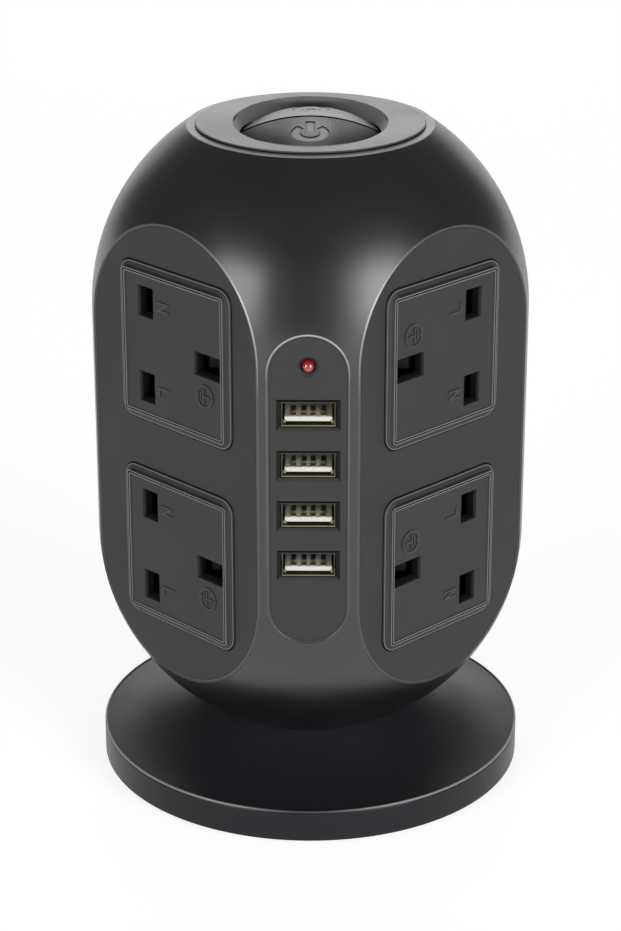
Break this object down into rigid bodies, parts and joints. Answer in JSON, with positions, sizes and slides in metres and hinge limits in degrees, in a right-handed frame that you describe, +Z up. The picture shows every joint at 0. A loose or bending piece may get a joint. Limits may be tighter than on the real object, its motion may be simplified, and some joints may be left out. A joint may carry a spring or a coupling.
{
  "type": "tower power strip",
  "caption": "Round tower power strip on a flared foot: shuttered socket outlets on flats round its barrel, charging ports in a narrow panel, and a rocker switch on top.",
  "frame": {"origin": "centre of the base at the height of the table that its feet stand on", "axes": "+Z up along the barrel's axis, -Y towards the corner with the charging ports, +Y towards the cord inlet"},
  "size_m": [0.111, 0.111, 0.1747],
  "materials": {
    "base_black": "satin black moulding",
    "shell_black": "soft satin black moulding",
    "panel_grey": "fine matte dark grey",
    "plate_grey": "fine matte dark grey",
    "collar_grey": "satin grey",
    "rocker_grey": "satin grey",
    "inner_black": "plain moulding",
    "shutter_black": "plain moulding",
    "plunger_white": "plain moulding",
    "foot_rubber": "matte rubber",
    "screw_steel": "zinc plated",
    "spring_steel": "drawn wire",
    "contact_brass": "stamped sheet",
    "port_nickel": "nickel plated shell",
    "port_white": "white moulding",
    "port_gold": "gold plated",
    "board_green": "solder mask",
    "parts_black": "moulded components",
    "lamp_red": "clear red moulding"
  },
  "bodies": {
    "housing": {"base_cover": "base_black", "base_plate": "base_black", "base_feet": "foot_rubber", "base_screws": "screw_steel", "neck_screws": "screw_steel", "cord_inlet": "inner_black", "front_shell": "shell_black", "rear_shell": "shell_black", "live_strips": "contact_brass", "neutral_strips": "contact_brass", "earth_strips": "contact_brass", "carrier_screws": "screw_steel", "usb_panel": "panel_grey", "usb_shells": "port_nickel", "usb_tongues": "port_white", "usb_contacts": "port_gold", "usb_board": "board_green", "board_parts": "parts_black", "indicator_lamp": "lamp_red", "top_collar": "collar_grey", "switch_body": "inner_black", "switch_terminals": "contact_brass", "panel_front_left": "panel_grey", "carrier_front_left": "inner_black", "panel_front_right": "panel_grey", "carrier_front_right": "inner_black", "panel_rear_right": "panel_grey", "carrier_rear_right": "inner_black", "panel_rear_left": "panel_grey", "carrier_rear_left": "inner_black", "socket_plate_front_left_lower": "plate_grey", "spring_front_left_lower": "spring_steel", "socket_plate_front_left_upper": "plate_grey", "spring_front_left_upper": "spring_steel", "socket_plate_front_right_lower": "plate_grey", "spring_front_right_lower": "spring_steel", "socket_plate_front_right_upper": "plate_grey", "spring_front_right_upper": "spring_steel", "socket_plate_rear_right_lower": "plate_grey", "spring_rear_right_lower": "spring_steel", "socket_plate_rear_right_upper": "plate_grey", "spring_rear_right_upper": "spring_steel", "socket_plate_rear_left_lower": "plate_grey", "spring_rear_left_lower": "spring_steel", "socket_plate_rear_left_upper": "plate_grey", "spring_rear_left_upper": "spring_steel"},
    "rocker": {"rocker": "rocker_grey", "rocker_plunger": "plunger_white"},
    "contact_arm": {"contact_arm": "contact_brass"},
    "shutter_front_left_lower": {"shutter_front_left_lower": "shutter_black"},
    "shutter_front_left_upper": {"shutter_front_left_upper": "shutter_black"},
    "shutter_front_right_lower": {"shutter_front_right_lower": "shutter_black"},
    "shutter_front_right_upper": {"shutter_front_right_upper": "shutter_black"},
    "shutter_rear_right_lower": {"shutter_rear_right_lower": "shutter_black"},
    "shutter_rear_right_upper": {"shutter_rear_right_upper": "shutter_black"},
    "shutter_rear_left_lower": {"shutter_rear_left_lower": "shutter_black"},
    "shutter_rear_left_upper": {"shutter_rear_left_upper": "shutter_black"}
  },
  "joints": [
    {"name": "shutter_slide_front_left_lower", "type": "slide", "parent": "housing", "child": "shutter_front_left_lower", "axis": [-0.7071, 0.7071, 0], "range_m": [0, 0.0056], "stiffness_N_per_m": 15, "springref_m": -0.006, "deforming": ["spring_front_left_lower"]},
    {"name": "shutter_slide_front_left_upper", "type": "slide", "parent": "housing", "child": "shutter_front_left_upper", "axis": [-0.7071, 0.7071, 0], "range_m": [0, 0.0056], "stiffness_N_per_m": 15, "springref_m": -0.006, "deforming": ["spring_front_left_upper"]},
    {"name": "shutter_slide_front_right_lower", "type": "slide", "parent": "housing", "child": "shutter_front_right_lower", "axis": [0.7071, 0.7071, 0], "range_m": [0, 0.0056], "stiffness_N_per_m": 15, "springref_m": -0.006, "deforming": ["spring_front_right_lower"]},
    {"name": "shutter_slide_front_right_upper", "type": "slide", "parent": "housing", "child": "shutter_front_right_upper", "axis": [0.7071, 0.7071, 0], "range_m": [0, 0.0056], "stiffness_N_per_m": 15, "springref_m": -0.006, "deforming": ["spring_front_right_upper"]},
    {"name": "shutter_slide_rear_right_lower", "type": "slide", "parent": "housing", "child": "shutter_rear_right_lower", "axis": [0.7071, -0.7071, 0], "range_m": [0, 0.0056], "stiffness_N_per_m": 15, "springref_m": -0.006, "deforming": ["spring_rear_right_lower"]},
    {"name": "shutter_slide_rear_right_upper", "type": "slide", "parent": "housing", "child": "shutter_rear_right_upper", "axis": [0.7071, -0.7071, 0], "range_m": [0, 0.0056], "stiffness_N_per_m": 15, "springref_m": -0.006, "deforming": ["spring_rear_right_upper"]},
    {"name": "shutter_slide_rear_left_lower", "type": "slide", "parent": "housing", "child": "shutter_rear_left_lower", "axis": [-0.7071, -0.7071, 0], "range_m": [0, 0.0056], "stiffness_N_per_m": 15, "springref_m": -0.006, "deforming": ["spring_rear_left_lower"]},
    {"name": "shutter_slide_rear_left_upper", "type": "slide", "parent": "housing", "child": "shutter_rear_left_upper", "axis": [-0.7071, -0.7071, 0], "range_m": [0, 0.0056], "stiffness_N_per_m": 15, "springref_m": -0.006, "deforming": ["spring_rear_left_upper"]},
    {"name": "rocker_tilt", "type": "hinge", "parent": "housing", "child": "rocker", "pos_m": [0, 0, 0.16104], "axis": [-1, 0, 0], "range_deg": [0, 10]},
    {"name": "contact_arm_tilt", "type": "hinge", "parent": "housing", "child": "contact_arm", "pos_m": [0, 0, 0.15004], "axis": [-1, 0, 0], "range_deg": [-16, 0]}
  ],
  "couplings": [
    {"joint": "contact_arm_tilt", "follows": "rocker_tilt", "ratio": -1.6}
  ]
}
